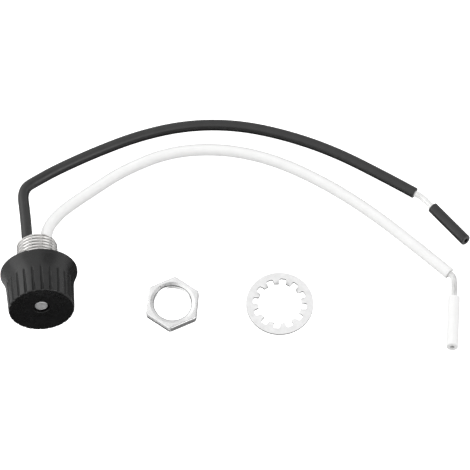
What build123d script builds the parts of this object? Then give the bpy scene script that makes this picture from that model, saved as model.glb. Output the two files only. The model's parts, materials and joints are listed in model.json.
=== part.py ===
from build123d import *
import math
import os

os.makedirs("parts", exist_ok=True)

# Rotary switch with a threaded bushing, two leads, and its nut and lock washer laid beside it.
# Millimetres, +Z up, the table at Z = 0, the knob's face towards -Y.
# The stations of the switch are heights along its own axis, from the seat that meets the panel.

# Attitude of the switch on the table
tip_up = 13.5
turn_right = 3.9

# Running fits and gaps
fit = 0.05
running_gap = 0.3
contact_gap = 0.05
end_play = 0.2

# Bushing and mounting plate
thread_d = 10.3
thread_pitch = 0.94
thread_depth = 0.4
thread_crest_w = 0.26
thread_root_w = 0.22
thread_chamfer = 0.4
first_groove = 1.85
groove_count = 7
undercut_w = 0.6
undercut_depth = 0.3
bushing_length = 8.3
bushing_wall = 1.0
neck_wall = 0.45
lip_width = 0.3
lip_t = 0.4
plate_d = 14.6
plate_t = 0.8
shoulder_recess = 0.2
shoulder_room = 0.25
lug_w = 2.2
lug_fold = 1.9

# Knob
rim_d = 19.5
rim_band = 0.45
rim_round = 0.2
grip_d = 16.65
grip_draft = 2.0
knob_height = 11.95
flare_height = 5.2
face_round = 0.25
face_land = 0.4
face_dish = 0.85
face_wall = 2.45
boss_d = 6.4
flute_count = 24
flute_phase = 12.0
flute_d = 0.76
flute_depth = 0.36
flute_length = 7.2
flute_lean = 3.6
flute_floor = 1.0
detent_count = 4

# Contact base and what it carries
base_inset = 0.4
base_t = 3.2
base_boss_d = 2.5
base_boss_height = 1.1
terminal_offset = 2.6
eyelet_wall = 0.225
eyelet_flange = 0.35
eyelet_flange_t = 0.35
spring_t = 0.35
spring_w = 1.7
spring_rise = 0.95
spring_ramp_start = 1.5
spring_ramp_end = 3.0
spring_reach = 5.0
contact_point = 4.2
contact_dimple_d = 1.2
bridge_t = 0.5
bridge_w = 4.6
bridge_d = 11.6
peg_d = 1.0
peg_circle_d = 4.4

# Detent leaf in the side of the base
leaf_t = 0.25
leaf_w = 1.4
leaf_rise = 0.5
leaf_spread = 38.0
leaf_pocket_spread = 42.0
leaf_bump_d = 0.9

# Axle rivet and its thrust washer
journal_d = 2.5
shank_d = 1.5
head_d = 3.2
head_t = 0.6
head_recess = 0.3
head_chamfer = 0.12
head_clear = 0.55
tail_d = 2.5
tail_t = 0.4
thrust_d = 3.8
thrust_t = 0.4

# Leads
black_insulation_d = 2.8
white_insulation_d = 3.0
conductor_d = 1.4
relaxed_bore = 0.9
bare_bend = 2.6
arc_share = 0.45
terminal_bend = 0.3
insulation_start = 0.9
conductor_in_slug = 6.5

# Nut and lock washer, and where they lie from the switch
nut_across_flats = 12.7
nut_t = 2.3
nut_turn = -5.2
nut_corner_round = 0.9
nut_edge_round = 0.3
nut_thread_depth = 0.3
nut_hole_bevel_w = 0.8
nut_hole_bevel = 0.35
nut_right = 33.66
nut_front = 5.44
washer_d = 17.0
washer_t = 0.55
washer_ring = 2.2
washer_hole_d = 10.9
washer_teeth = 12
washer_root_w = 1.5
washer_tip_w = 1.2
washer_slot_w = 1.72
washer_slot_depth = 0.55
washer_slot_round = 0.45
washer_stub = 0.1
washer_twist = 13.0
washer_turn = 8.0
washer_right = 60.66
washer_front = 4.95

# Hand-laid routes of the leads, from just outside the bushing to the bare end.
# X and Y are from the middle of the switch's seat, Z from the table.
black_route = [
    (-2.87, 8.94, 7.25),
    (-3.6, 18.05, 4.9),
    (-4.43, 25.48, 3.1),
    (-0.26, 28.67, 2.0),
    (4.49, 31.81, 1.4),
    (14.14, 36.62, 1.4),
    (25.32, 41.28, 1.4),
    (37.09, 44.08, 1.4),
    (49.19, 44.24, 1.4),
    (61.44, 41.68, 1.4),
    (74.44, 36.88, 1.4),
    (88.26, 29.19, 1.4),
    (96.74, 24.1, 1.4),
]
black_slug_end = (107.7, 12.05, 1.4)
black_slug_length = 12.6
black_bare = 2.15
white_route = [
    (2.23, 5.19, 8.2),
    (1.53, 12.75, 5.6),
    (4.75, 18.21, 3.7),
    (8.58, 22.07, 2.3),
    (13.89, 26.29, 1.5),
    (21.23, 31.5, 1.5),
    (32.71, 36.63, 1.5),
    (45.64, 37.6, 1.5),
    (58.74, 34.74, 1.5),
    (71.59, 28.35, 1.5),
    (83.09, 20.55, 1.5),
    (94.06, 11.33, 1.5),
    (104.79, 1.75, 1.5),
]
white_slug_end = (104.04, -17.4, 1.5)
white_slug_length = 13.9
white_bare = 1.75

# Radii and stations that follow from the sizes above
thread_r = thread_d / 2
undercut_r = thread_r - undercut_depth
bore_r = thread_r - bushing_wall
neck_r = bore_r + neck_wall
lip_r = neck_r + lip_width
plate_r = plate_d / 2
base_r = plate_r - base_inset
rim_r = rim_d / 2
grip_r = grip_d / 2
pocket_r = plate_r + running_gap
cavity_r = grip_r - flute_depth - flute_floor
dish_edge_r = grip_r - face_land
dish_r = (dish_edge_r**2 + face_dish**2) / (2 * face_dish)
journal_r = journal_d / 2
socket_r = head_d / 2 + head_clear
eyelet_bore_r = conductor_d / 2 + fit
eyelet_r = eyelet_bore_r + eyelet_wall
flange_r = eyelet_r + eyelet_flange

lip_front = plate_t + lip_t
recess_floor = lip_front + fit
base_front = plate_t + base_t
lug_front = base_front + plate_t
thrust_seat = base_front + base_boss_height
journal_step = thrust_seat + thrust_t
bridge_rear = journal_step + end_play
boss_end = bridge_rear + bridge_t
knob_rear = running_gap
knob_face = knob_rear + knob_height
flare_end = knob_rear + flare_height
flare_r = grip_r + (knob_face - flare_end) * math.tan(math.radians(grip_draft))
cavity_floor = knob_face - face_wall
pocket_front = lug_front + running_gap
head_front = knob_face - face_dish - head_recess
head_under = head_front - head_t
socket_floor = head_under - fit
leaf_crest = pocket_r - running_gap
contact_angle = math.degrees(math.atan2(contact_point, terminal_offset))

# The switch's own directions: towards the knob's face, and level to the right
tip = math.radians(tip_up)
turn = math.radians(turn_right)
face_dir = Vector(math.cos(tip) * math.sin(turn), -math.cos(tip) * math.cos(turn), math.sin(tip))
side_dir = Vector(math.cos(turn), math.sin(turn), 0)


def reach(direction, radius, station):
    """How far a disc of the switch reaches from the seat's centre along a direction."""
    along = face_dir.dot(Vector(direction))
    return station * along + radius * math.sqrt(1 - along**2)


# The rim's rounded edge stands on the table, and the box of switch, nut and washer is centred
rim_low = rim_round + (rim_r - rim_round) * math.cos(tip) - (knob_rear + rim_round) * math.sin(tip)
left_reach = reach((-1, 0, 0), rim_r, knob_rear + rim_round)
right_reach = washer_right + washer_d / 2
front_reach = max(reach((0, -1, 0), grip_r, knob_face), washer_d / 2 + washer_front)
back_reach = reach((0, 1, 0), thread_r, -bushing_length)
seat = Vector((left_reach - right_reach) / 2, (front_reach - back_reach) / 2, rim_low)

switch = Plane(origin=seat, x_dir=side_dir, z_dir=face_dir)
section = Plane(origin=seat, x_dir=side_dir, z_dir=side_dir.cross(face_dir))
upright = Plane(origin=seat, x_dir=switch.y_dir, z_dir=switch.y_dir.cross(face_dir))
turn_axis = Axis(seat, face_dir)


def level(station):
    """The plane across the switch's axis at a station."""
    return switch.offset(station)


def save(piece, name):
    """Label a finished piece and write its file."""
    piece.part.label = name
    export_step(piece.part, f"parts/{name}.step")


# Cutter for one flute: a round-ended groove that leans out along the flare
flute_top = section.from_local_coords(
    (
        grip_r + flute_d / 2 - flute_depth + flute_length * math.tan(math.radians(flute_lean)),
        knob_face - flute_length,
        0,
    )
)
flute_dir = face_dir.rotate(Axis((0, 0, 0), section.z_dir), flute_lean)
flute_plane = Plane(origin=flute_top, x_dir=section.z_dir, z_dir=flute_dir)
with BuildPart() as flute:
    with BuildSketch(flute_plane):
        Circle(flute_d / 2)
    extrude(amount=flute_length + flute_d)
    with Locations(flute_plane):
        Sphere(flute_d / 2)

# Knob: a moulded cup that flares to its rim, with a dished face and a boss inside for the axle
with BuildPart() as knob:
    with BuildSketch(section):
        with BuildLine():
            grip = Line((grip_r, knob_face), (flare_r, flare_end))
            flare = TangentArc(grip @ 1, (rim_r, knob_rear + rim_band), tangent=grip % 1)
            Polyline(
                flare @ 1,
                (rim_r, knob_rear),
                (pocket_r, knob_rear),
                (pocket_r, pocket_front),
                (cavity_r, pocket_front),
                (cavity_r, cavity_floor),
                (boss_d / 2, cavity_floor),
                (boss_d / 2, boss_end),
                (journal_r + fit, boss_end),
                (journal_r + fit, socket_floor),
                (socket_r, socket_floor),
                (socket_r, knob_face),
                grip @ 0,
            )
        make_face()
        fillet(vertices().group_by(Axis.X)[-1].sort_by(Axis.Y)[0], radius=rim_round)
        fillet(vertices().group_by(Axis.Y)[-1].sort_by(Axis.X)[-1], radius=face_round)
    revolve(axis=turn_axis)
    with Locations(level(knob_face - face_dish + dish_r)):
        Sphere(dish_r, mode=Mode.SUBTRACT)
    with BuildSketch(level(boss_end)):
        with PolarLocations(peg_circle_d / 2, 2, start_angle=contact_angle):
            Circle(peg_d / 2)
    extrude(amount=-bridge_t)
    with BuildSketch(level(knob_rear)):
        with PolarLocations(leaf_crest, detent_count):
            Circle(leaf_bump_d / 2 + 2 * fit)
    extrude(amount=base_front - knob_rear, mode=Mode.SUBTRACT)
    for number in range(flute_count):
        add(flute.part.rotate(turn_axis, flute_phase + 360 / flute_count * number), mode=Mode.SUBTRACT)
save(knob, "knob")

# Bridging contact: a brass bar keyed on the boss, which joins the two contact points when on
with BuildPart() as bridging_contact:
    with BuildSketch(level(bridge_rear)):
        Circle(bridge_d / 2)
        Rectangle(bridge_d, bridge_w, rotation=contact_angle, mode=Mode.INTERSECT)
        Circle(journal_r + 2 * fit, mode=Mode.SUBTRACT)
        with PolarLocations(peg_circle_d / 2, 2, start_angle=contact_angle):
            Circle(peg_d / 2 + fit, mode=Mode.SUBTRACT)
    extrude(amount=bridge_t)
save(bridging_contact, "bridging_contact")

# Bushing: a tube with the thread as plain rings, whose neck passes the plate and is rolled over it
groove_mouth_w = thread_pitch - thread_crest_w
with BuildPart() as bushing:
    with BuildSketch(section):
        with BuildLine():
            Polyline(
                (bore_r, -bushing_length),
                (thread_r, -bushing_length),
                (thread_r, -undercut_w),
                (undercut_r, -undercut_w),
                (undercut_r, shoulder_recess),
                (neck_r, shoulder_recess),
                (neck_r, plate_t),
                (lip_r, plate_t),
                (lip_r, lip_front),
                (bore_r, lip_front),
                close=True,
            )
        make_face()
        chamfer(vertices().group_by(Axis.Y)[0].sort_by(Axis.X)[-1], length=thread_chamfer)
        for number in range(groove_count):
            middle = -first_groove - number * thread_pitch
            with BuildLine():
                Polyline(
                    (thread_r, middle - groove_mouth_w / 2),
                    (thread_r - thread_depth, middle - thread_root_w / 2),
                    (thread_r - thread_depth, middle + thread_root_w / 2),
                    (thread_r, middle + groove_mouth_w / 2),
                    close=True,
                )
            make_face(mode=Mode.SUBTRACT)
    revolve(axis=turn_axis)
save(bushing, "bushing")

# Mounting plate: a disc behind the base, with two lugs folded over the base's front
lug_outer = base_r - fit
lug_inner = lug_outer - plate_t
with BuildPart() as mounting_plate:
    with BuildSketch(switch):
        Circle(plate_r)
        Circle(neck_r + fit, mode=Mode.SUBTRACT)
    extrude(amount=plate_t)
    with BuildSketch(switch):
        Circle(thread_r + shoulder_room)
    extrude(amount=shoulder_recess, mode=Mode.SUBTRACT)
    for way in (1, -1):
        with BuildSketch(upright):
            with BuildLine():
                Polyline(
                    (way * lug_inner, 0),
                    (way * lug_outer, 0),
                    (way * lug_outer, lug_front),
                    (way * (lug_outer - lug_fold), lug_front),
                    (way * (lug_outer - lug_fold), base_front),
                    (way * lug_inner, base_front),
                    close=True,
                )
            make_face()
        extrude(amount=lug_w / 2, both=True)
save(mounting_plate, "mounting_plate")

# Outline of the bowed detent leaf, and of the pocket that leaves it room to flex
leaf_end_angle = math.radians(leaf_spread)
leaf_foot = leaf_crest - leaf_rise
leaf_foot_point = (leaf_foot * math.cos(leaf_end_angle), leaf_foot * math.sin(leaf_end_angle))
leaf_foot_mirror = (leaf_foot_point[0], -leaf_foot_point[1])
leaf_pocket_r = leaf_foot - 2 * leaf_t
leaf_rear = plate_t + (base_t - leaf_w) / 2

# Contact base: a moulded disc under the lugs, with holes for the axle and the two eyelets
with BuildPart() as contact_base:
    with BuildSketch(level(plate_t)):
        Circle(base_r)
    extrude(amount=base_t)
    with BuildSketch(level(base_front)):
        Circle(base_boss_d / 2)
    extrude(amount=base_boss_height)
    with BuildSketch(level(plate_t)):
        Circle(lip_r + 2 * fit)
    extrude(amount=recess_floor - plate_t, mode=Mode.SUBTRACT)
    with BuildSketch(level(plate_t)):
        Circle(shank_d / 2 + fit)
        with PolarLocations(terminal_offset, 2):
            Circle(eyelet_r + fit)
    extrude(amount=thrust_seat - plate_t, mode=Mode.SUBTRACT)
    with BuildSketch(level(plate_t)):
        with PolarLocations(lug_outer - plate_t / 2, 2, start_angle=90):
            Rectangle(plate_t + 4 * fit, lug_w + 4 * fit)
    extrude(amount=base_t, mode=Mode.SUBTRACT)
    with BuildSketch(level(leaf_rear - fit)):
        with BuildLine():
            outer = CenterArc((0, 0), base_r + fit, -leaf_pocket_spread, 2 * leaf_pocket_spread)
            inner = CenterArc((0, 0), leaf_pocket_r, -leaf_pocket_spread, 2 * leaf_pocket_spread)
            Line(outer @ 0, inner @ 0)
            Line(outer @ 1, inner @ 1)
        make_face()
    extrude(amount=leaf_w + 2 * fit, mode=Mode.SUBTRACT)
save(contact_base, "contact_base")

# Detent leaf: a bowed strip whose bump drops into the grooves of the knob's wall
with BuildPart() as detent_spring:
    with BuildSketch(level(leaf_rear)):
        with BuildLine():
            ThreePointArc(leaf_foot_mirror, (leaf_crest - leaf_t / 2, 0), leaf_foot_point)
        trace(line_width=leaf_t)
        with Locations((leaf_crest, 0)):
            Circle(leaf_bump_d / 2)
        Circle(leaf_crest - leaf_t, mode=Mode.SUBTRACT)
    extrude(amount=leaf_w)
save(detent_spring, "detent_spring")

# Axle rivet: its head shows in the knob's face, its step clamps the thrust washer on the base
with BuildPart() as axle_rivet:
    with BuildSketch(section):
        with BuildLine():
            Polyline(
                (0, recess_floor - tail_t),
                (tail_d / 2, recess_floor - tail_t),
                (tail_d / 2, recess_floor),
                (shank_d / 2, recess_floor),
                (shank_d / 2, journal_step),
                (journal_r, journal_step),
                (journal_r, head_under),
                (head_d / 2, head_under),
                (head_d / 2, head_front),
                (0, head_front),
                close=True,
            )
        make_face()
        chamfer(vertices().group_by(Axis.Y)[-1].sort_by(Axis.X)[-1], length=head_chamfer)
    revolve(axis=turn_axis)
save(axle_rivet, "axle_rivet")

# Thrust washer on the base's boss
with BuildPart() as thrust_washer:
    with BuildSketch(level(thrust_seat)):
        Circle(thrust_d / 2)
        Circle(shank_d / 2 + fit, mode=Mode.SUBTRACT)
    extrude(amount=thrust_t)
save(thrust_washer, "thrust_washer")


def make_terminal(colour, way):
    """The eyelet that takes a lead's conductor, and the contact spring riveted under it."""
    side = Plane(origin=seat, x_dir=side_dir * way, z_dir=face_dir)
    with BuildPart() as eyelet:
        for start, height, radius in (
            (recess_floor, base_front + spring_t - recess_floor, eyelet_r),
            (base_front + spring_t, eyelet_flange_t, flange_r),
            (recess_floor, -eyelet_flange_t, eyelet_r + eyelet_wall),
        ):
            with BuildSketch(side.offset(start)):
                with Locations((terminal_offset, 0)):
                    Circle(radius)
                    Circle(eyelet_bore_r, mode=Mode.SUBTRACT)
            extrude(amount=height)
    save(eyelet, f"{colour}_eyelet")

    arm_plane = Plane(origin=seat + side_dir * way * terminal_offset, x_dir=side.y_dir,
                      z_dir=side.y_dir.cross(face_dir))
    foot_middle = base_front + spring_t / 2
    arm_middle = foot_middle + spring_rise
    with BuildPart() as spring:
        with BuildSketch(side.offset(base_front)):
            with Locations((terminal_offset, 0)):
                Circle(flange_r)
        extrude(amount=spring_t)
        with BuildSketch(arm_plane):
            with BuildLine():
                Polyline(
                    (0, foot_middle),
                    (spring_ramp_start, foot_middle),
                    (spring_ramp_end, arm_middle),
                    (spring_reach, arm_middle),
                )
            trace(line_width=spring_t)
        extrude(amount=spring_w / 2, both=True)
        with BuildSketch(side.offset(arm_middle)):
            with Locations((terminal_offset, contact_point)):
                Circle(contact_dimple_d / 2)
        extrude(amount=bridge_rear - contact_gap - arm_middle)
        with BuildSketch(side.offset(base_front)):
            with Locations((terminal_offset, 0)):
                Circle(eyelet_r + fit)
        extrude(amount=spring_t, mode=Mode.SUBTRACT)
    save(spring, f"{colour}_contact_spring")


make_terminal("black", -1)
make_terminal("white", 1)


def from_switch(point):
    """A point of a lead, given from the switch's seat in X and Y."""
    return Vector(seat.X + point[0], seat.Y + point[1], point[2])


def route_radii(points):
    """The largest arc that each corner of a route leaves room for."""
    radii = []
    for before, corner, after in zip(points, points[1:], points[2:]):
        run_in = corner - before
        run_out = after - corner
        half_turn = math.radians(run_in.get_angle(run_out)) / 2
        radii.append(arc_share * min(run_in.length, run_out.length) / math.tan(half_turn))
    return radii


def sweep_tube(points, radii, outer_r, inner_r):
    """A round tube along straight runs and tangent arcs."""
    with BuildPart() as tube:
        with BuildLine() as path:
            FilletPolyline(points, radius=radii)
        with BuildSketch(Plane(origin=path.line @ 0, z_dir=path.line % 0)):
            Circle(outer_r)
            if inner_r:
                Circle(inner_r, mode=Mode.SUBTRACT)
        sweep(path=path.wire())
    area = math.pi * (outer_r**2 - inner_r**2)
    print(f"  length {path.wire().length:.1f}  volume over section {tube.part.volume / area:.1f}")
    return tube


def make_lead(colour, way, insulation_d, laid, slug_end, slug_length, bare):
    """A lead: insulation, conductor, and the slug of insulation left on its stripped end."""
    terminal = switch.from_local_coords((way * terminal_offset, 0, terminal_bend))
    route = [terminal] + [from_switch(point) for point in laid]
    radii = route_radii(route)
    print(f"{colour} lead radii", [round(radius, 1) for radius in radii])
    slug_end = from_switch(slug_end)
    slug_dir = (slug_end - route[-1]).normalized()
    slug_start = slug_end - slug_dir * slug_length

    covered = list(route)
    covered[0] = route[0] + (route[1] - route[0]).normalized() * insulation_start
    covered[-1] = route[-1] - (route[-1] - route[-2]).normalized() * bare
    insulation = sweep_tube(covered, radii, insulation_d / 2, conductor_d / 2 + fit)
    save(insulation, f"{colour}_lead")

    eyelet_front = base_front + spring_t + eyelet_flange_t
    solder_end = switch.from_local_coords((way * terminal_offset, 0, eyelet_front))
    conductor_end = slug_start + slug_dir * conductor_in_slug
    conductor_points = [solder_end] + route + [conductor_end]
    conductor = sweep_tube(conductor_points, [bare_bend] + radii + [bare_bend], conductor_d / 2, 0)
    save(conductor, f"{colour}_conductor")

    with BuildPart() as slug:
        with BuildSketch(Plane(origin=slug_start, z_dir=slug_dir)):
            Circle(insulation_d / 2)
        extrude(amount=slug_length)
        with BuildSketch(Plane(origin=slug_start, z_dir=slug_dir)):
            Circle(conductor_d / 2 + fit)
        extrude(amount=conductor_in_slug + fit, mode=Mode.SUBTRACT)
        with BuildSketch(Plane(origin=slug_start, z_dir=slug_dir)):
            Circle(relaxed_bore / 2)
        extrude(amount=slug_length, mode=Mode.SUBTRACT)
    save(slug, f"{colour}_slug")


make_lead("black", -1, black_insulation_d, black_route, black_slug_end, black_slug_length, black_bare)
make_lead("white", 1, white_insulation_d, white_route, white_slug_end, white_slug_length, white_bare)

# Hex nut for the bushing's thread, lying flat, with rounded corners and edges and a bevelled hole
nut_plane = Plane(
    origin=(seat.X + nut_right, seat.Y - nut_front, 0),
    x_dir=(math.cos(math.radians(nut_turn)), math.sin(math.radians(nut_turn)), 0),
    z_dir=(0, 0, 1),
)
nut_section = Plane(origin=nut_plane.origin, x_dir=nut_plane.x_dir, z_dir=-nut_plane.y_dir)
nut_hole_r = thread_r - nut_thread_depth
nut_bevel_r = nut_hole_r + nut_hole_bevel_w
with BuildPart() as hex_nut:
    with BuildSketch(nut_plane):
        RegularPolygon(nut_across_flats / 2, 6, major_radius=False, rotation=30)
        fillet(vertices(), radius=nut_corner_round)
    extrude(amount=nut_t)
    ends = faces().sort_by(Axis.Z)
    fillet(ends[0].edges() + ends[-1].edges(), radius=nut_edge_round)
    with BuildSketch(nut_section):
        with BuildLine():
            Polyline(
                (0, 0),
                (nut_bevel_r, 0),
                (nut_hole_r, nut_hole_bevel),
                (nut_hole_r, nut_t - nut_hole_bevel),
                (nut_bevel_r, nut_t),
                (0, nut_t),
                close=True,
            )
        make_face()
    revolve(axis=Axis(nut_plane.origin, (0, 0, 1)), mode=Mode.SUBTRACT)
save(hex_nut, "hex_nut")

# Lock washer: a flat ring with tapered, twisted teeth inside, lifted by the teeth that it lies on
half_t = washer_t / 2
twist = math.radians(washer_twist)
washer_mid = washer_tip_w / 2 * math.sin(twist) + half_t * math.cos(twist)
washer_origin = Vector(seat.X + washer_right, seat.Y - washer_front, washer_mid)
washer_ring_r = washer_d / 2 - washer_ring
slot_end_r = washer_ring_r + washer_slot_depth
slot_middle_r = slot_end_r - washer_slot_w / 2
tooth_root_r = washer_ring_r - washer_stub
stub_length = slot_end_r - tooth_root_r
tooth_tip_r = washer_hole_d / 2
half_pitch = 180 / washer_teeth
with BuildPart() as lock_washer:
    with BuildSketch(Plane(washer_origin).offset(-half_t)):
        Circle(washer_d / 2)
        Circle(washer_ring_r, mode=Mode.SUBTRACT)
        with PolarLocations(slot_middle_r, washer_teeth, start_angle=washer_turn + half_pitch):
            RectangleRounded(washer_slot_w, washer_slot_w, washer_slot_round, mode=Mode.SUBTRACT)
        with PolarLocations(tooth_root_r + stub_length / 2, washer_teeth, start_angle=washer_turn):
            Rectangle(stub_length, washer_root_w)
    extrude(amount=washer_t)
    for number in range(washer_teeth):
        angle = math.radians(washer_turn + 360 / washer_teeth * number)
        outward = Vector(math.cos(angle), math.sin(angle), 0)
        across = Vector(-math.sin(angle), math.cos(angle), 0)
        root_plane = Plane(origin=washer_origin + outward * tooth_root_r, x_dir=across, z_dir=-outward)
        tip_plane = Plane(origin=washer_origin + outward * tooth_tip_r, x_dir=across, z_dir=-outward)
        with BuildSketch(root_plane):
            Rectangle(washer_root_w, washer_t)
        with BuildSketch(tip_plane):
            Rectangle(washer_tip_w, washer_t, rotation=washer_twist)
        loft()
save(lock_washer, "lock_washer")
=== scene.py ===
import json
import math

import bmesh
import bpy
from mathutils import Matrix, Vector


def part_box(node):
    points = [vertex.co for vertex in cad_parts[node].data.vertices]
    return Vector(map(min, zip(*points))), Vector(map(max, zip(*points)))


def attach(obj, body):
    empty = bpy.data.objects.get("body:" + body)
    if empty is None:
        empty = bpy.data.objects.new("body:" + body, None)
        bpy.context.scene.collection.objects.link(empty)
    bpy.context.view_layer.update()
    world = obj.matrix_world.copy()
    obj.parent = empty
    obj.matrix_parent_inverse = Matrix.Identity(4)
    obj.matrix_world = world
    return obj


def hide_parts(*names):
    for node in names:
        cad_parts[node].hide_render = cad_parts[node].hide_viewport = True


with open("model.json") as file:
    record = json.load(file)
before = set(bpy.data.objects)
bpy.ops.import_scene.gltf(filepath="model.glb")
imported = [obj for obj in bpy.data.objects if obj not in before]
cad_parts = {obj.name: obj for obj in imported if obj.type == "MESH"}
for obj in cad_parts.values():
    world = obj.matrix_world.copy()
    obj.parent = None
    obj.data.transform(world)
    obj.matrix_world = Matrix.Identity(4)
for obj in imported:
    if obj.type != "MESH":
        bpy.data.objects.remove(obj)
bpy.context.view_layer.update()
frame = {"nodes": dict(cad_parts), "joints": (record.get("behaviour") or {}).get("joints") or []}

# The looks of a rotary switch: fluted knob, threaded bushing, two leads, and its nut and lock washer.
# Sizes are in millimetres, as in the solids, and MM turns them into metres.
MM = 0.001
TURN = 2 * math.pi

# The switch's own directions, from the joint: towards the knob's face, level to the right, and up
joint = frame["joints"][0]
seat = Vector(joint["pos_m"])
face_dir = Vector(joint["axis"]).normalized()
side_dir = Vector((-face_dir.y, face_dir.x, 0)).normalized()
up_dir = face_dir.cross(side_dir)


def station_and_radius(point):
    """A point's station along the switch's axis and its distance from the axis."""
    offset = (point - seat) / MM
    station = offset.dot(face_dir)
    return station, (offset - face_dir * station).length


def reach(node):
    """The lowest and highest station and the widest radius of a node about the switch's axis."""
    places = [station_and_radius(vertex.co) for vertex in frame["nodes"][node].data.vertices]
    stations = [station for station, radius in places]
    return min(stations), max(stations), max(radius for station, radius in places)


def about_switch(radius, angle, station):
    """A point about the switch's axis."""
    outward = side_dir * math.cos(angle) + up_dir * math.sin(angle)
    return seat + (outward * radius + face_dir * station) * MM


# Knob
knob_rear, knob_face, rim_r = reach("knob")
rim_band = 0.45
rim_round = 0.2
rear_land = 1.0
grip_r = 8.325
grip_draft = math.radians(2)
flare_end = knob_rear + 5.2
face_round = 0.38
face_dish = 0.85
dish_edge_r = grip_r - 0.4
dish_r = (dish_edge_r**2 + face_dish**2) / (2 * face_dish)
socket_r = 2.15
socket_edge = 0.1
socket_floor = knob_face - 1.8
axle_hole_r = 1.3
boss_r = 3.2
boss_end = knob_face - 6.05
cavity_r = 6.965
cavity_floor = knob_face - 2.45
pocket_r = 7.6
pocket_front = knob_rear + 4.8
flute_count = 24
flute_phase = math.radians(12)
flute_r = 0.38
flute_depth = 0.36
flute_length = 7.2
flute_lean = math.tan(math.radians(3.6))
flute_edge = 0.07

# Bushing
bushing_end, lip_front, thread_r = reach("bushing")
thread_pitch = 0.94
thread_start = 0.065
thread_depth = 0.4
thread_crest = 0.3
thread_root = 0.1
thread_wall = 0.3
# Share of the thread's depth past which faces get the painted shade of the roots
root_share = 0.7
thread_chamfer = 0.4
chamfer_blend = 0.05
undercut_w = 0.6
undercut_r = thread_r - 0.3
undercut_slope = 0.05
runout = 0.9
runout_share = 0.3
shoulder = 0.2
neck_r = 4.6
plate_t = 0.8
lip_r = 4.9
bore_r = 4.15
mouth_bevel = 0.25

# Nut
nut_low, nut_high = (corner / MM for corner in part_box("hex_nut"))
nut_middle = (nut_low + nut_high) / 2
nut_t = nut_high.z
nut_flat_r = 6.35
nut_half_side = TURN / 12
nut_turn = math.radians(-5.2)
nut_corner_round = 0.9
nut_edge_round = 0.3
nut_hole_r = thread_r - 0.4
nut_groove = 0.4
nut_bevel = 0.35
nut_bevel_r = thread_r + 0.5
nut_thread_turn = math.radians(-14)
nut_runout = 0.25
# Width of the dark line of painted shade where the nut's bevels meet the hole
nut_line_w = 0.12

# Lock washer
washer_low, washer_high = (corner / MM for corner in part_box("lock_washer"))
washer_middle = (washer_low + washer_high) / 2
washer_r = (washer_high.x - washer_low.x) / 2
washer_half_t = 0.275
washer_teeth = 12
washer_turn = math.radians(8)
washer_ring_r = washer_r - 2.2
washer_bevel = 0.05
washer_edge_tilt = 0.5
tooth_tip_half_w = 0.6
tooth_root_half_w = 0.75
tooth_tip_r = 5.45
tooth_root_r = washer_ring_r - 0.1
tooth_twist = math.radians(13)
slot_half_w = 0.86
slot_end_r = washer_ring_r + 0.55
slot_round = 0.45

# Leads: routes from the switch's seat in X and Y and from the table in Z, as in the solids
black_insulation_r = 1.4
white_insulation_r = 1.5
insulation_bore = 0.75
terminal_offset = 2.6
terminal_station = 0.3
insulation_start = 0.9
black_route = [
    (-2.87, 8.94, 7.25),
    (-3.6, 18.05, 4.9),
    (-4.43, 25.48, 3.1),
    (-0.26, 28.67, 2.0),
    (4.49, 31.81, 1.4),
    (14.14, 36.62, 1.4),
    (25.32, 41.28, 1.4),
    (37.09, 44.08, 1.4),
    (49.19, 44.24, 1.4),
    (61.44, 41.68, 1.4),
    (74.44, 36.88, 1.4),
    (88.26, 29.19, 1.4),
    (96.74, 24.1, 1.4),
]
black_slug_end = (107.7, 12.05, 1.4)
black_slug_length = 12.6
black_bare = 2.15
white_route = [
    (2.23, 5.19, 8.2),
    (1.53, 12.75, 5.6),
    (4.75, 18.21, 3.7),
    (8.58, 22.07, 2.3),
    (13.89, 26.29, 1.5),
    (21.23, 31.5, 1.5),
    (32.71, 36.63, 1.5),
    (45.64, 37.6, 1.5),
    (58.74, 34.74, 1.5),
    (71.59, 28.35, 1.5),
    (83.09, 20.55, 1.5),
    (94.06, 11.33, 1.5),
    (104.79, 1.75, 1.5),
]
white_slug_end = (104.04, -17.4, 1.5)
white_slug_length = 13.9
white_bare = 1.75

# Strands, and how far they are tucked into the insulation at both ends
strand_r = 0.14
strand_count = 16
strand_circle_r = 0.66
strand_core_r = 0.58
strand_lay = 45.0
strand_tuck = 2.4

# Cut ends of the insulation: edges, bores and what counts as a cut face
lead_edge = 0.12
slug_near_edge = 0.2
slug_edge = 0.22
slug_lean = math.radians(12)
slug_bore = 0.55
bore_edge = 0.06
bore_depth = 2.5
slug_bore_depth = 5.0
cut_reach = 3.0
cut_tilt = 0.8

# How finely each piece is divided
flute_columns = 28
rim_steps = 5
flare_steps = 10
grip_steps = 40
face_edge_steps = 8
dish_steps = 12
socket_steps = 4
bushing_columns = 160
rows_per_pitch = 12
nut_columns = 240
nut_edge_steps = 7
nut_hole_rows = 64
tooth_tip_steps = 3
tooth_flank_steps = 4
slot_steps = 6
washer_steps = 8
route_steps = 12
lead_sides = 28
slug_steps = 6
cut_edge_steps = 5
core_sides = 12
strand_sides = 8


# Mesh helpers

def skin(bm, rings, closed=False):
    """Quads between neighbouring rings of points. A closed skin joins the last ring to the first."""
    rows = [[bm.verts.new(point) for point in ring] for ring in rings]
    pairs = list(zip(rows, rows[1:]))
    if closed:
        pairs.append((rows[-1], rows[0]))
    for low, high in pairs:
        for i in range(len(low)):
            j = (i + 1) % len(low)
            bm.faces.new((low[i], low[j], high[j], high[i]))
    return rows


def make_piece(name, bm, body, material, sharp=40):
    """Turn a bmesh into a shaded piece that rides on a body. Edges past the sharp angle stay crisp."""
    bmesh.ops.recalc_face_normals(bm, faces=bm.faces)
    mesh = bpy.data.meshes.new(name)
    bm.to_mesh(mesh)
    bm.free()
    mesh.shade_smooth()
    mesh.set_sharp_from_angle(angle=math.radians(sharp))
    mesh.materials.append(material)
    piece = bpy.data.objects.new(name, mesh)
    bpy.context.scene.collection.objects.link(piece)
    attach(piece, body)
    return piece


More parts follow.
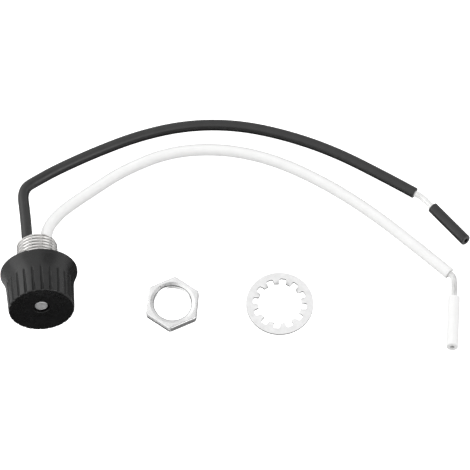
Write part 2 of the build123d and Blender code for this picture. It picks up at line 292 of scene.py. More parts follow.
def evenly(start, stop, steps):
    """Numbers from start to stop, both ends included."""
    return [start + (stop - start) * i / steps for i in range(steps + 1)]


def all_round(columns):
    """Angles of a full turn, the last one short of the first."""
    return [TURN * i / columns for i in range(columns)]


def arc(middle, radius, start, stop, steps):
    """A round stretch of a section, as (radius, station) points, between two angles in degrees."""
    angles = [math.radians(angle) for angle in evenly(start, stop, steps)]
    return [(middle[0] + radius * math.cos(a), middle[1] + radius * math.sin(a)) for a in angles]


def soft_min(a, b, blend):
    """The smaller of two numbers, rounded over where they meet."""
    share = min(1, max(0, 0.5 + 0.5 * (b - a) / blend))
    return b + (a - b) * share - blend * share * (1 - share)


# Materials

# The stretches of a noise over which a colour and a roughness change
colour_band = (0.35, 0.65)
roughness_band = (0.3, 0.7)

# How far the roughness of plastic and of metal goes below and above its middle
plastic_spread = (0.05, 0.08)
metal_spread = (0.05, 0.1)


class Shader:
    """A material with one principled shader and object-space textures."""

    def __init__(self, name, metallic=0.0, specular=0.5):
        self.material = bpy.data.materials.new(name)
        self.material.use_nodes = True
        self.tree = self.material.node_tree
        self.main = self.tree.nodes["Principled BSDF"]
        self.main.inputs["Metallic"].default_value = metallic
        self.main.inputs["Specular IOR Level"].default_value = specular
        self.place = self.add("ShaderNodeTexCoord").outputs["Object"]

    def add(self, kind, **values):
        """A node with some of its inputs set."""
        node = self.tree.nodes.new(kind)
        for name, value in values.items():
            node.inputs[name].default_value = value
        return node

    def link(self, output, node, socket):
        """Join an output to a node's input."""
        self.tree.links.new(output, node.inputs[socket])

    def noise(self, grain, detail=4.0):
        """Noise whose lumps are about a grain across, in millimetres."""
        texture = self.add("ShaderNodeTexNoise", Scale=1 / (grain * MM), Detail=detail, Roughness=0.55)
        self.link(self.place, texture, "Vector")
        return texture.outputs["Fac"]

    def colour(self, fac, dark, light):
        """Base colour between two tones."""
        ramp = self.add("ShaderNodeValToRGB")
        for element, position, tone in zip(ramp.color_ramp.elements, colour_band, (dark, light)):
            element.position = position
            element.color = (*tone, 1)
        self.link(fac, ramp, "Fac")
        self.link(ramp.outputs["Color"], self.main, "Base Color")

    def roughness(self, fac, middle, spread):
        """Roughness that goes some way below and above a middle."""
        scale = self.add("ShaderNodeMapRange")
        scale.inputs["From Min"].default_value = roughness_band[0]
        scale.inputs["From Max"].default_value = roughness_band[1]
        scale.inputs["To Min"].default_value = middle - spread[0]
        scale.inputs["To Max"].default_value = middle + spread[1]
        self.link(fac, scale, "Value")
        self.link(scale.outputs["Result"], self.main, "Roughness")

    def bump(self, height, depth):
        """Relief of a depth in millimetres."""
        relief = self.add("ShaderNodeBump", Strength=1.0, Distance=depth * MM)
        self.link(height, relief, "Height")
        self.link(relief.outputs["Normal"], self.main, "Normal")


def moulded(name, dark, light, rough, specular, grain=0.25, depth=0.006):
    """Moulded or extruded plastic: faintly mottled, with a fine orange-peel skin."""
    shader = Shader(name, specular=specular)
    shader.colour(shader.noise(grain=2.5), dark, light)
    shader.roughness(shader.noise(grain=1.2, detail=6), rough, plastic_spread)
    shader.bump(shader.noise(grain, detail=2), depth)
    return shader.material


def plated(name, dark, light, rough, depth=0.003):
    """Plated metal: slightly clouded, with a fine grain."""
    shader = Shader(name, metallic=1.0)
    shader.colour(shader.noise(grain=1.8), dark, light)
    shader.roughness(shader.noise(grain=0.8, detail=6), rough, metal_spread)
    shader.bump(shader.noise(grain=0.12, detail=3), depth)
    return shader.material


# Plastics: dark and light tone, roughness, specular level, and the grain and depth of the skin
black_phenolic = moulded(
    "black_phenolic", (0.005, 0.005, 0.0052), (0.008, 0.008, 0.0082), 0.28, 0.5, depth=0.0015
)
# Darker, duller copy of the knob's phenolic: painted shade in the flutes
flute_shade_phenolic = moulded(
    "flute_shade_phenolic", (0.004, 0.004, 0.0042), (0.007, 0.007, 0.0072), 0.4, 0.3, depth=0.0015
)
black_insulation = moulded(
    "black_insulation", (0.009, 0.009, 0.0092), (0.014, 0.014, 0.0142), 0.36, 0.6, grain=0.4, depth=0.003
)
white_insulation = moulded(
    "white_insulation", (0.87, 0.87, 0.865), (0.9, 0.9, 0.895), 0.42, 0.5, grain=0.4, depth=0.003
)
# Cut ends of the black lead: matt cut plastic, lighter in tone as painted light
black_cut_painted_light = moulded("black_cut_painted_light", (0.07, 0.07, 0.07), (0.1, 0.1, 0.1), 0.6, 0.4)
white_cut = moulded("white_cut", (0.8, 0.8, 0.795), (0.87, 0.87, 0.865), 0.6, 0.4)
# Darker copies for the bores of the cut ends: painted shade in the holes
black_bore_shade = moulded("black_bore_shade", (0.004, 0.004, 0.004), (0.008, 0.008, 0.008), 0.9, 0.1)
white_bore_shade = moulded("white_bore_shade", (0.55, 0.55, 0.55), (0.65, 0.65, 0.65), 0.9, 0.1)
brown_phenolic = moulded("brown_phenolic", (0.05, 0.022, 0.01), (0.085, 0.038, 0.016), 0.5, 0.4)

# Metals: dark and light tone, roughness, and the depth of the grain
nickel = plated("nickel_plate", (0.8, 0.785, 0.77), (0.87, 0.86, 0.845), 0.34, depth=0.001)
bright_nickel = plated("bright_nickel", (0.8, 0.8, 0.8), (0.87, 0.87, 0.87), 0.22, depth=0.001)
# Lighter copy of the nut's nickel for its bevels: turned finish, with its lighter tone painted light
turned_lit_nickel = plated("turned_lit_nickel", (0.84, 0.84, 0.84), (0.92, 0.92, 0.92), 0.26, depth=0.001)
# Dark copy of the nickel: painted shade in the bushing's thread roots
root_shade_nickel = plated("root_shade_nickel", (0.13, 0.128, 0.125), (0.2, 0.197, 0.193), 0.4, depth=0.001)
# Dark copy of the steel: painted shade for the line inside the nut's bevels
nut_line_shade_steel = plated("nut_line_shade_steel", (0.1, 0.1, 0.1), (0.16, 0.16, 0.16), 0.6)
washer_steel = plated("washer_steel", (0.82, 0.82, 0.82), (0.9, 0.9, 0.9), 0.3, depth=0.002)
# Side walls of the washer: rougher sheared steel, darker as painted shade
sheared_shaded_steel = plated("sheared_shaded_steel", (0.22, 0.22, 0.22), (0.36, 0.36, 0.36), 0.5)
plate_steel = plated("plate_steel", (0.55, 0.55, 0.56), (0.66, 0.66, 0.66), 0.35)
rivet_steel = plated("rivet_steel", (0.76, 0.76, 0.765), (0.88, 0.88, 0.885), 0.6, depth=0.004)
brass = plated("contact_brass", (0.62, 0.43, 0.17), (0.74, 0.54, 0.24), 0.3)
tinned = plated("tinned_copper", (0.88, 0.88, 0.875), (0.96, 0.96, 0.955), 0.3)
# Darker copy of the tinned copper for the white lead's strands, as painted shade
shaded_tinned = plated("shaded_tinned_copper", (0.72, 0.72, 0.715), (0.86, 0.86, 0.855), 0.35)


# Knob: a moulded cup with a flared rim, fluted grip and dished face

flare_r = grip_r + (knob_face - flare_end) * math.tan(grip_draft)
flare_drop = flare_end - knob_rear - rim_band
flare_rise = rim_r - flare_r
flare_lean = flare_rise * math.cos(grip_draft) - flare_drop * math.sin(grip_draft)
flare_sweep = (flare_drop**2 + flare_rise**2) / (2 * flare_lean)


def flare_radius(station):
    """The knob's unfluted radius: a drafted grip, then a tangent arc that swells to the rim."""
    if station > flare_end:
        return grip_r + (knob_face - station) * math.tan(grip_draft)
    past = flare_end - station + flare_sweep * math.sin(grip_draft)
    return flare_r + flare_sweep * math.cos(grip_draft) - math.sqrt(flare_sweep**2 - past**2)


def dish_station(radius):
    """The station of the dished face at a radius."""
    return knob_face - face_dish + dish_r - math.sqrt(dish_r**2 - radius**2)


def fluted(radius, angle, station):
    """The radius left where the nearest round-ended flute cuts the grip."""
    flute_top = knob_face - flute_length
    off_middle = ((angle - flute_phase) * flute_count / TURN + 0.5) % 1 - 0.5
    across = radius * math.sin(off_middle * TURN / flute_count)
    past_end = max(0, flute_top - station)
    room = flute_r**2 - across**2 - past_end**2
    if room <= 0:
        return radius
    lean = flute_lean * (knob_face - max(station, flute_top))
    cutter_r = grip_r - flute_depth + flute_r + lean
    return soft_min(radius, cutter_r - math.sqrt(room), flute_edge)


def knob_outline():
    """The knob's section as (radius, station), from the rear face over the grip and face to the inside."""
    outline = [(pocket_r, knob_rear), (pocket_r + rear_land, knob_rear)]
    outline += arc((rim_r - rim_round, knob_rear + rim_round), rim_round, -90, 0, rim_steps)
    smooth_end = knob_face - flute_length - flute_r
    stations = evenly(knob_rear + rim_band, smooth_end, flare_steps)
    stations += evenly(smooth_end, knob_face - face_round, grip_steps)[1:-1]
    outline += [(flare_radius(station), station) for station in stations]
    outline += arc((grip_r - face_round, knob_face - face_round), face_round, 0, 90, face_edge_steps)
    mouth_r = socket_r + socket_edge
    outline += [(radius, dish_station(radius)) for radius in evenly(dish_edge_r, mouth_r, dish_steps)[:-1]]
    outline += arc((mouth_r, dish_station(mouth_r) - socket_edge), socket_edge, 90, 180, socket_steps)
    outline += [
        (socket_r, socket_floor),
        (axle_hole_r, socket_floor),
        (axle_hole_r, boss_end),
        (boss_r, boss_end),
        (boss_r, cavity_floor),
        (cavity_r, cavity_floor),
        (cavity_r, pocket_front),
        (pocket_r, pocket_front),
    ]
    return outline


def make_knob():
    """The knob, with a darker, duller copy of its phenolic in its flutes as painted shade."""
    bm = bmesh.new()
    angles = all_round(flute_count * flute_columns)
    rings = []
    for radius, station in knob_outline():
        rings.append([about_switch(fluted(radius, a, station), a, station) for a in angles])
    skin(bm, rings, closed=True)
    # Faces sunk into a flute get the darker copy, as painted shade
    for face in bm.faces:
        station, radius = station_and_radius(face.calc_center_median())
        if knob_rear + rim_band < station < knob_face - face_round:
            sunk = flare_radius(station) - radius
            if flute_edge < sunk < 2 * flute_depth:
                face.material_index = 1
    knob = make_piece("fluted_knob", bm, "knob", black_phenolic)
    knob.data.materials.append(flute_shade_phenolic)
    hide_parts("knob")


# Bushing: a tube with a right-hand thread, an undercut behind it and a rolled lip

def thread_wave(angle, station):
    """1 on a crest of the right-hand thread and 0 in its root."""
    phase = ((station - thread_start) / thread_pitch - angle / TURN) % 1
    return min(1, max(0, (abs(2 * phase - 1) - thread_root) / (1 - thread_root - thread_crest)))


def bushing_radius(angle, station):
    """The bushing's outside along its thread, chamfered at the end and running out at the undercut."""
    depth = thread_depth * min(1, max(runout_share, (-undercut_w - station) / runout))
    radius = thread_r - depth * (1 - thread_wave(angle, station))
    chamfer = thread_r - thread_chamfer + (station - bushing_end)
    return soft_min(radius, chamfer, chamfer_blend)


def make_bushing():
    """The bushing, with a darker copy of its plating in the roots of its thread as painted shade."""
    bm = bmesh.new()
    angles = all_round(bushing_columns)
    thread_rows = round((-undercut_w - bushing_end) / thread_pitch * rows_per_pitch)
    rings = []
    for station in evenly(bushing_end, -undercut_w, thread_rows):
        rings.append([about_switch(bushing_radius(a, station), a, station) for a in angles])
    plain = [
        (undercut_r, -undercut_w + undercut_slope),
        (undercut_r, shoulder),
        (neck_r, shoulder),
        (neck_r, plate_t),
        (lip_r, plate_t),
        (lip_r, lip_front),
        (bore_r, lip_front),
        (bore_r, bushing_end + mouth_bevel),
        (bore_r + mouth_bevel, bushing_end),
    ]
    for radius, station in plain:
        rings.append([about_switch(radius, a, station) for a in angles])
    skin(bm, rings, closed=True)
    # Faces deep in the thread's roots get the dark copy, as painted shade
    for face in bm.faces:
        radius = station_and_radius(face.calc_center_median())[1]
        if bore_r + thread_wall < radius < thread_r - thread_depth * root_share:
            face.material_index = 1
    bushing = make_piece("threaded_bushing", bm, "switch", nickel)
    bushing.data.materials.append(root_shade_nickel)
    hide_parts("bushing")


# Hex nut: rounded corners and edges, and a bevelled, threaded hole

def nut_point(radius, angle, height):
    """A point about the nut's middle."""
    place = Vector((radius * math.cos(angle + nut_turn), radius * math.sin(angle + nut_turn), height))
    return (Vector((nut_middle.x, nut_middle.y, 0)) + place) * MM


def hex_radius(angle, flat_r, corner_round):
    """The distance to a rounded hexagon's edge, with a flat square to angle 0."""
    off = abs((angle + nut_half_side) % (2 * nut_half_side) - nut_half_side)
    if flat_r * math.tan(off) < (flat_r - corner_round) * math.tan(nut_half_side):
        return flat_r / math.cos(off)
    corner_middle = (flat_r - corner_round) / math.cos(nut_half_side)
    past = nut_half_side - off
    across = corner_middle * math.sin(past)
    return corner_middle * math.cos(past) + math.sqrt(corner_round**2 - across**2)


def nut_outside(inset, height, angles):
    """A ring of the nut's outside, drawn in by an inset."""
    rounding = nut_corner_round - inset
    return [nut_point(hex_radius(a, nut_flat_r - inset, rounding), a, height) for a in angles]


def nut_hole(angle, height):
    """The radius of the threaded hole, bevelled at both ends."""
    end = min(height, nut_t - height)
    depth = nut_groove * min(1, max(0, (end - nut_bevel) / nut_runout))
    groove = depth * thread_wave(angle + nut_thread_turn, height)
    return max(nut_hole_r + groove, nut_bevel_r - (nut_bevel_r - nut_hole_r) * end / nut_bevel)


def make_nut():
    """The nut, with turned bevels whose lighter plating is painted light, and a thin dark line of painted
    shade where they meet the hole.
    """
    bm = bmesh.new()
    angles = all_round(nut_columns)
    rings = []
    for angle in evenly(-TURN / 4, 0, nut_edge_steps):
        inset = nut_edge_round * (1 - math.cos(angle))
        rings.append(nut_outside(inset, nut_edge_round * (1 + math.sin(angle)), angles))
    for angle in evenly(0, TURN / 4, nut_edge_steps):
        inset = nut_edge_round * (1 - math.cos(angle))
        rings.append(nut_outside(inset, nut_t - nut_edge_round * (1 - math.sin(angle)), angles))
    for height in evenly(nut_t, 0, nut_hole_rows):
        rings.append([nut_point(nut_hole(a, height), a, height) for a in angles])
    skin(bm, rings, closed=True)
    for face in bm.faces:
        middle = face.calc_center_median() / MM
        reach_out = math.hypot(middle.x - nut_middle.x, middle.y - nut_middle.y)
        end = min(middle.z, nut_t - middle.z)
        # Bevel faces get the lighter copy as painted light; the narrow ring next to the hole gets painted
        # shade
        if reach_out < nut_bevel_r and end < nut_bevel:
            face.material_index = 1 if reach_out > nut_hole_r + nut_line_w else 2
    nut = make_piece("nickel_nut", bm, "switch", bright_nickel, sharp=20)
    nut.data.materials.append(turned_lit_nickel)
    nut.data.materials.append(nut_line_shade_steel)
    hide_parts("hex_nut")


# Lock washer: a flat ring with twisted teeth inside and round slots between them

def half_tooth():
    """The inner edge from the middle of a tooth to the middle of a slot, as (along, across) the tooth."""
    slot_angle = TURN / washer_teeth / 2
    slot_run = math.sqrt(washer_ring_r**2 - slot_half_w**2)

    def in_slot(along, off):
        """A point given along the slot's middle line and off it."""
        return (
            along * math.cos(slot_angle) - off * math.sin(slot_angle),
            along * math.sin(slot_angle) + off * math.cos(slot_angle),
        )

    edge = [(tooth_tip_r, tooth_tip_half_w * share) for share in evenly(0, 1, tooth_tip_steps)]
    for share in evenly(0, 1, tooth_flank_steps)[1:]:
        along = tooth_tip_r + (tooth_root_r - tooth_tip_r) * share
        edge.append((along, tooth_tip_half_w + (tooth_root_half_w - tooth_tip_half_w) * share))
    edge.append(in_slot(slot_run, -slot_half_w))
    for point in arc((slot_end_r - slot_round, slot_round - slot_half_w), slot_round, -90, 0, slot_steps):
        edge.append(in_slot(*point))
    edge.append(in_slot(slot_end_r, 0))
    return edge


def washer_point(along, across, height, middle_angle):
    """A point of the washer, twisted about the middle line of its tooth."""
    share = min(1, max(0, (tooth_root_r - along) / (tooth_root_r - tooth_tip_r)))
    twist = tooth_twist * share
    across, height = (
        across * math.cos(twist) - height * math.sin(twist),
        across * math.sin(twist) + height * math.cos(twist),
    )
    cos = math.cos(middle_angle)
    sin = math.sin(middle_angle)
    return (washer_middle + Vector((along * cos - across * sin, along * sin + across * cos, height))) * MM


def washer_ring(edge, share, height):
    """A ring of the washer, a share of the way from its toothed inner edge to its round outside."""
    ring = []
    for tooth in range(washer_teeth):
        middle_angle = washer_turn + TURN * tooth / washer_teeth
        for number, (along, across) in enumerate(edge):
            spread = (number / len(edge) - 0.5) * TURN / washer_teeth
            outer = (washer_r * math.cos(spread), washer_r * math.sin(spread))
            here = (along + (outer[0] - along) * share, across + (outer[1] - across) * share)
            ring.append(washer_point(*here, height, middle_angle))
    return ring


def make_washer():
    """The lock washer, with sheared edges in a darker copy of its steel: rougher, and darker as painted
    shade.
    """
    bm = bmesh.new()
    edge = half_tooth()
    edge = [(along, -across) for along, across in reversed(edge[1:])] + edge[:-1]
    rings = [washer_ring(edge, share, washer_half_t) for share in evenly(0, 1, washer_steps)]
    rings += [washer_ring(edge, share, -washer_half_t) for share in evenly(1, 0, washer_steps)]
    skin(bm, rings, closed=True)
    bm.normal_update()
    # Steep faces, the side walls and slot edges, get the darker copy as painted shade
    for face in bm.faces:
        if abs(face.normal.z) < washer_edge_tilt:
            face.material_index = 1
    washer = make_piece("toothed_washer", bm, "switch", washer_steel)
    washer.data.materials.append(sheared_shaded_steel)
    bevel = washer.modifiers.new("edges", "BEVEL")
    bevel.width = washer_bevel * MM
    bevel.segments = 2
    bevel.angle_limit = math.radians(50)
    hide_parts("lock_washer")


# Leads

def from_switch(point):
    """A point given from the switch's seat in X and Y and from the table in Z, in metres."""
    return Vector((seat.x + point[0] * MM, seat.y + point[1] * MM, point[2] * MM))


def read_route(name, points):
    """Points along the smooth line that has a route's points as its control points."""
    curve = bpy.data.curves.new(name, "CURVE")
    curve.dimensions = "3D"
    curve.resolution_u = route_steps
    spline = curve.splines.new("NURBS")
    spline.points.add(len(points) - 1)
    for knot, point in zip(spline.points, points):
        knot.co = (*point, 1)
    spline.order_u = 3
    spline.use_endpoint_u = True
    holder = bpy.data.objects.new(name, curve)
    mesh = bpy.data.meshes.new_from_object(holder)
    line = [vertex.co.copy() for vertex in mesh.vertices]
    bpy.data.meshes.remove(mesh)
    bpy.data.objects.remove(holder)
    bpy.data.curves.remove(curve)
    return line


def frames_along(line):
    """For each point of a line: the point and two directions across it that turn as little as can be."""
    frames = []
    across = Vector((0, 0, 1))
    for i, point in enumerate(line):
        along = (line[min(i + 1, len(line) - 1)] - line[max(i - 1, 0)]).normalized()
        across = (across - along * across.dot(along)).normalized()
        frames.append((point, across, along.cross(across)))
    return frames


def ring_at(frame_here, radius, sides, shift=(0, 0), start=0.0):
    """A ring of points about a frame, its middle shifted across the line."""
    point, across, other = frame_here
    middle = point + (across * shift[0] + other * shift[1]) * MM
    angles = [start + angle for angle in all_round(sides)]
    return [middle + (across * math.cos(a) + other * math.sin(a)) * radius * MM for a in angles]


def closed_rod(bm, rings):
    """A skin with both its ends filled."""
    rows = skin(bm, rings)
    bm.faces.new(rows[0])
    bm.faces.new(rows[-1])


def cut_end(line, radius, bore, depth, edge, lean=0.0):
    """Rings over a cut end with a softened edge and down into its bore. The cut's top may lean back."""
    last = line[-1]
    along = (line[-1] - line[-2]).normalized()
    frame_end = frames_along(line)[-1]
    sections = []
    for angle in evenly(0, TURN / 4, cut_edge_steps):
        sections.append((edge * (1 - math.sin(angle)), radius - edge + edge * math.cos(angle)))
    sections += [(0, bore + bore_edge), (bore_edge, bore), (depth, bore)]
    rings = []
    for back, ring_r in sections:
        ring = ring_at((last - along * back * MM, *frame_end[1:]), ring_r, lead_sides)
        rings.append([point - along * (point - last).dot(frame_end[1]) * math.tan(lean) for point in ring])
    return rings


def show_cut(piece, line, finishes):
    """Give the cut faces at a line's ends the finish of cut plastic, lightened on the black lead as
    painted light, and their bores a darker copy as painted shade.
    """
    for material in finishes:
        piece.data.materials.append(material)
    ends = [
        (line[0], (line[0] - line[1]).normalized()),
        (line[-1], (line[-1] - line[-2]).normalized()),
    ]
    for face in piece.data.polygons:
        for point, way in ends:
            offset = (face.center - point) / MM
            off_axis = (offset - way * offset.dot(way)).length
            if offset.length > cut_reach:
                continue
            # Faces in the bore get the darker copy, as painted shade
            if off_axis < insulation_bore + bore_edge and abs(face.normal.dot(way)) < cut_tilt:
                face.material_index = 2
            # Faces across the axis get the cut material, lightened on the black lead as painted light
            elif abs(face.normal.dot(way)) > cut_tilt:
                face.material_index = 1


def make_insulation(colour, line, radius, material, cut):
    """A lead's insulation along its route, cut square at its free end."""
    bm = bmesh.new()
    rings = [ring_at(here, radius, lead_sides) for here in frames_along(line)[:-1]]
    closed_rod(bm, rings + cut_end(line, radius, insulation_bore, bore_depth, lead_edge))
    lead = make_piece(f"{colour}_insulated_lead", bm, "switch", material)
    show_cut(lead, line, cut)
    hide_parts(f"{colour}_lead")
    return lead


def make_strands(colour, points, material):
    """A lead's bare end: a twisted bundle of tinned strands around a core."""
    bm = bmesh.new()
    frames = frames_along(read_route(f"{colour}_bare", points))
    closed_rod(bm, [ring_at(here, strand_core_r, core_sides) for here in frames])
    for number in range(strand_count):
        rings = []
        run = 0.0
        for i, here in enumerate(frames):
            if i:
                run += (here[0] - frames[i - 1][0]).length / MM
            angle = TURN * (number / strand_count + run / strand_lay)
            shift = (strand_circle_r * math.cos(angle), strand_circle_r * math.sin(angle))
            rings.append(ring_at(here, strand_r, strand_sides, shift, angle))
        closed_rod(bm, rings)
    strands = make_piece(f"{colour}_strands", bm, "switch", material)
    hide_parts(f"{colour}_conductor")
    return strands


def make_slug(colour, start, end, radius, material, cut):
    """The slug of insulation left on a lead's strands, cut aslant at its far end."""
    bm = bmesh.new()
    line = [start + (end - start) * share for share in evenly(0, 1, slug_steps)]
    far = cut_end(line, radius, slug_bore, slug_bore_depth, slug_edge, slug_lean)
    near = cut_end(line[::-1], radius, insulation_bore, bore_depth, slug_near_edge)
    middle = [ring_at(here, radius, lead_sides) for here in frames_along(line)[1:-1]]
    flipped = [[ring[0]] + ring[:0:-1] for ring in near[::-1]]
    closed_rod(bm, flipped + middle + far)
    slug = make_piece(f"{colour}_cut_slug", bm, "switch", material)
    show_cut(slug, line, cut)
    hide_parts(f"{colour}_slug")
    return slug


def make_lead(colour, way, radius, laid, slug_end, slug_length, bare, material, cut, metal):
    """A lead with a cut end, its bare strands, and the slug of insulation left on them."""
    terminal = about_switch(way * terminal_offset, 0, terminal_station)
    route = [terminal] + [from_switch(point) for point in laid]
    slug_end = from_switch(slug_end)
    slug_dir = (slug_end - route[-1]).normalized()
    slug_start = slug_end - slug_dir * slug_length * MM
    end_dir = (route[-1] - route[-2]).normalized()
    covered = list(route)
    covered[0] = route[0] + (route[1] - route[0]).normalized() * insulation_start * MM
    covered[-1] = route[-1] - end_dir * bare * MM
    line = read_route(f"{colour}_route", covered)
    tucked = strand_tuck * MM
    bare_points = [
        covered[-1] - end_dir * tucked,
        covered[-1],
        route[-1],
        slug_start,
        slug_start + slug_dir * tucked,
    ]

    lead = make_insulation(colour, line, radius, material, cut)
    strands = make_strands(colour, bare_points, metal)
    slug = make_slug(colour, slug_start, slug_end, radius, material, cut)


# Inner pieces and the axle keep their solids and get their finish

def dress_solids():
    """Give each solid that shows as it is its material."""
    finishes = {
        "axle_rivet": rivet_steel,
        "thrust_washer": rivet_steel,
        "mounting_plate": plate_steel,
        "detent_spring": plate_steel,
        "contact_base": brown_phenolic,
        "bridging_contact": brass,
        "black_contact_spring": brass,
        "white_contact_spring": brass,
        "black_eyelet": brass,
        "white_eyelet": brass,
    }
    for node, material in finishes.items():
        solid = frame["nodes"][node]
        solid.data.materials.clear()
        solid.data.materials.append(material)


# Stage, light and camera

# Half the width of the paper, in metres, its tones, and how far below the object each sheet lies
stage_half = 1.5
floor_tones = (0.86, 0.88)
table_tones = (0.62, 0.66)
floor_drop = 0.02
card_drop = 0.04
table_drop = 0.05

# Dark cards of painted shade on the paper, which the shiny pieces mirror as table in shadow: tone, and two
# corners from the seat
shade_cards = {
    "front_shade": (0.04, (-40, -70), (16, -17)),
    "right_shade": (0.04, (9.5, -17), (21, 12)),
    "left_shade": (0.08, (-26, 3), (-8, 16)),
    "middle_shade": (0.08, (21, 2), (62, 22)),
    "nut_hole_shade": (0.05, (29, -3.7), (35.1, -0.2)),
    "nut_front_shade": (0.22, (33.2, -15.5), (41.2, -9.7)),
    "nut_right_shade": (0.05, (39.9, -9.7), (50, 3)),
}

# Dark strips of painted shadow on the paper along the lower side of the black lead, its slug and the nut:
# tone, and near and far edge
lead_strip_tone = 0.04
lead_strip_edges = (0.2, 5.0)
nut_strip_tone = 0.05
nut_strip_edges = (0.0, 0.4)

# Where the strips run: the lead's from a point of its route to a share of the last stretch, the slug's
# from a share of the way back from its tip, and the nut's between two corners, in sixths of a turn
lead_strip_start = 3
lead_strip_stop = 0.7
slug_strip_start = 0.6
nut_strip_corners = (3.5, 4.5)

# Share of its tone by which a card on the paper is clouded, darker and lighter
card_cloud = 0.1

# Dark card held over the nut, a painted reflection of shade which only reflections show: two corners from
# the seat, height and tones
overhead_shade_card = (31, -16), (46.5, -4.5)
overhead_height = 30.0
overhead_tones = (0.04, 0.05)

# Dim lobes of the sky: direction, cosines where a lobe starts and is full, and its tone
sky_lobes = (
    (Vector((0.22, -0.96, -0.15)), 0.5, 0.75, 0.15),
    (Vector((0.5, 0.3, 0.8)), 0.88, 0.97, 0.45),
    (Vector((0.2, 0.97, 0.1)), 0.7, 0.9, 0.7),
)
sky_strength = 1.08

# The photograph's frame is square, and this much of the object's plane is across it
view_middle = Vector((seat.x + 49.39 * MM, seat.y + 14.25 * MM, 0))
view_width = 118.7 * MM
view_elevation = math.radians(65.7)
view_distance = 4.0
view_end = 10.0

# Soft boxes: place in metres, what they face, size in metres and power in watts
soft_boxes = {
    "left_box": ((-0.322, 0.03, 0.142), seat, (0.6, 0.24), 0.368),
    "front_box": ((0.6, -0.45, 0.66), view_middle, (0.5, 0.5), 1.9),
}


def make_sheet(name, rows, height, material):
    """A level strip, from rows of two points, that is part of the stage."""
    bm = bmesh.new()
    verts = [[bm.verts.new((point[0], point[1], height * MM)) for point in row] for row in rows]
    for near, far in zip(verts, verts[1:]):
        bm.faces.new((*near, *reversed(far)))
    mesh = bpy.data.meshes.new(name)
    bm.to_mesh(mesh)
    bm.free()
    mesh.materials.append(material)
    sheet = bpy.data.objects.new(name, mesh)
    bpy.context.scene.collection.objects.link(sheet)
    return sheet


def rectangle(low, high):
    """The two rows of a rectangle's corners."""
    return [(low, (high[0], low[1])), ((low[0], high[1]), high)]


def card_rows(corners):
    """The rows of a rectangular card, from two corners given from the seat."""
    return rectangle(*(from_switch((*corner, 0)) for corner in corners))


def strip_below(points, near, far):
    """Rows of a strip along the lower side of a line, between two distances from it."""
    rows = []
    for i, point in enumerate(points):
        along = points[min(i + 1, len(points) - 1)] - points[max(i - 1, 0)]
        below = Vector((along.y, -along.x, 0)).normalized()
        rows.append((point + below * near * MM, point + below * far * MM))
    return rows


def paper(name, dark, light, glow=0.0):
    """Matt paper, faintly clouded."""
    shader = Shader(name, specular=0.1)
    shader.colour(shader.noise(grain=40), (dark, dark, dark), (light, light, light))
    shader.main.inputs["Roughness"].default_value = 0.9
    shader.main.inputs["Emission Color"].default_value = (1, 1, 1, 1)
    shader.main.inputs["Emission Strength"].default_value = glow
    return shader.material


def dark_cards():
    """The tone and the rows of each dark card of painted shade on the paper."""
    cards = {name: (tone, card_rows(corners)) for name, (tone, *corners) in shade_cards.items()}
    lead = [from_switch(point) for point in black_route[lead_strip_start:]]
    lead[-1] = lead[-2].lerp(lead[-1], lead_strip_stop)
    slug_tip = from_switch(black_slug_end)
    slug = [slug_tip.lerp(lead[-1], slug_strip_start), slug_tip]
    nut_corner_r = nut_flat_r / math.cos(nut_half_side)
    nut = [nut_point(nut_corner_r, TURN * corner / 6, 0) for corner in nut_strip_corners]
    # Strips of painted shadow along the black lead, its slug and the nut's lower side
    cards["lead_strip"] = lead_strip_tone, strip_below(lead, *lead_strip_edges)
    cards["slug_strip"] = lead_strip_tone, strip_below(slug, *lead_strip_edges)
    cards["nut_strip"] = nut_strip_tone, strip_below(nut, *nut_strip_edges)
    return cards


def make_stage():
    """A plain white floor for the camera, and the paper and the dark cards of painted shade that the
    object mirrors.
    """
    whole = rectangle((-stage_half, -stage_half), (stage_half, stage_half))
    floor = make_sheet("floor", whole, -floor_drop, paper("floor_paper", *floor_tones, glow=1.0))
    floor.visible_diffuse = False
    floor.visible_glossy = False
    floor.visible_shadow = False
    table = make_sheet("table", whole, -table_drop, paper("table_paper", *table_tones))
    table.visible_camera = False
    # Dark cards of painted shade, hidden from the camera
    for name, (tone, rows) in dark_cards().items():
        card_paper = paper(f"{name}_card", (1 - card_cloud) * tone, (1 + card_cloud) * tone)
        card = make_sheet(name, rows, -card_drop, card_paper)
        card.visible_camera = False
    # A dark card of painted shade, which only the nut's reflections show
    overhead_paper = paper("overhead_card", *overhead_tones)
    overhead = make_sheet("overhead_shade_card", card_rows(overhead_shade_card), overhead_height, overhead_paper)
    overhead.visible_camera = False
    overhead.visible_diffuse = False
    overhead.visible_shadow = False


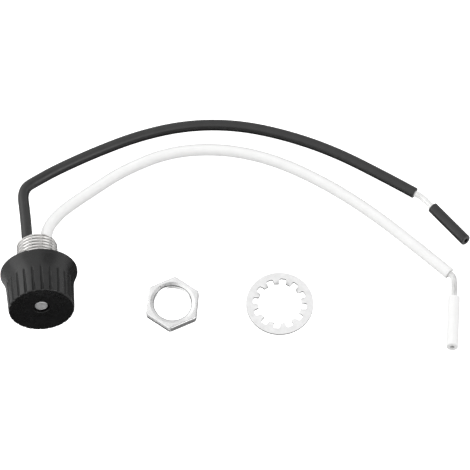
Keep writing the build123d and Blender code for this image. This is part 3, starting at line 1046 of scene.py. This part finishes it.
def make_sky():
    """Soft light from all around, dimmed by the lobes."""
    world = bpy.data.worlds.new("studio")
    bpy.context.scene.world = world
    world.use_nodes = True
    tree = world.node_tree
    coords = tree.nodes.new("ShaderNodeTexCoord")
    strength = None
    for direction, start, full, tone in sky_lobes:
        dot = tree.nodes.new("ShaderNodeVectorMath")
        dot.operation = "DOT_PRODUCT"
        dot.inputs[1].default_value = direction.normalized()
        tree.links.new(coords.outputs["Generated"], dot.inputs[0])
        lobe = tree.nodes.new("ShaderNodeMapRange")
        lobe.interpolation_type = "SMOOTHSTEP"
        lobe.inputs["From Min"].default_value = start
        lobe.inputs["From Max"].default_value = full
        lobe.inputs["To Min"].default_value = 1.0
        lobe.inputs["To Max"].default_value = tone
        tree.links.new(dot.outputs["Value"], lobe.inputs["Value"])
        dim = tree.nodes.new("ShaderNodeMath")
        dim.operation = "MULTIPLY"
        dim.inputs[0].default_value = sky_strength
        if strength:
            tree.links.new(strength, dim.inputs[0])
        tree.links.new(lobe.outputs["Result"], dim.inputs[1])
        strength = dim.outputs["Value"]
    tree.links.new(strength, tree.nodes["Background"].inputs["Strength"])
    tree.nodes["Background"].inputs["Color"].default_value = (1, 1, 1, 1)


def make_light(name, place, target, size, power):
    """A soft box that faces a point."""
    light = bpy.data.lights.new(name, "AREA")
    light.shape = "RECTANGLE"
    light.size, light.size_y = size
    light.energy = power
    lamp = bpy.data.objects.new(name, light)
    lamp.location = place
    lamp.rotation_euler = (Vector(target) - Vector(place)).to_track_quat("-Z", "Y").to_euler()
    bpy.context.scene.collection.objects.link(lamp)


def make_camera():
    """A camera far off, so that the view is almost without perspective."""
    camera = bpy.data.cameras.new("camera")
    camera.sensor_width = 36
    camera.lens = camera.sensor_width * view_distance / view_width
    camera.clip_end = view_end
    holder = bpy.data.objects.new("camera", camera)
    away = Vector((0, -math.cos(view_elevation), math.sin(view_elevation)))
    holder.location = view_middle + away * view_distance
    holder.rotation_euler = (-away).to_track_quat("-Z", "Y").to_euler()
    bpy.context.scene.collection.objects.link(holder)
    bpy.context.scene.camera = holder


make_camera()
make_stage()
make_sky()
for box_name, box in soft_boxes.items():
    make_light(box_name, *box)
bpy.context.scene.view_settings.view_transform = "Standard"

make_lead(
    colour="black",
    way=-1,
    radius=black_insulation_r,
    laid=black_route,
    slug_end=black_slug_end,
    slug_length=black_slug_length,
    bare=black_bare,
    material=black_insulation,
    cut=(black_cut_painted_light, black_bore_shade),
    metal=tinned,
)
make_lead(
    colour="white",
    way=1,
    radius=white_insulation_r,
    laid=white_route,
    slug_end=white_slug_end,
    slug_length=white_slug_length,
    bare=white_bare,
    material=white_insulation,
    cut=(white_cut, white_bore_shade),
    metal=shaded_tinned,
)
make_knob()
make_bushing()
make_nut()
make_washer()
dress_solids()
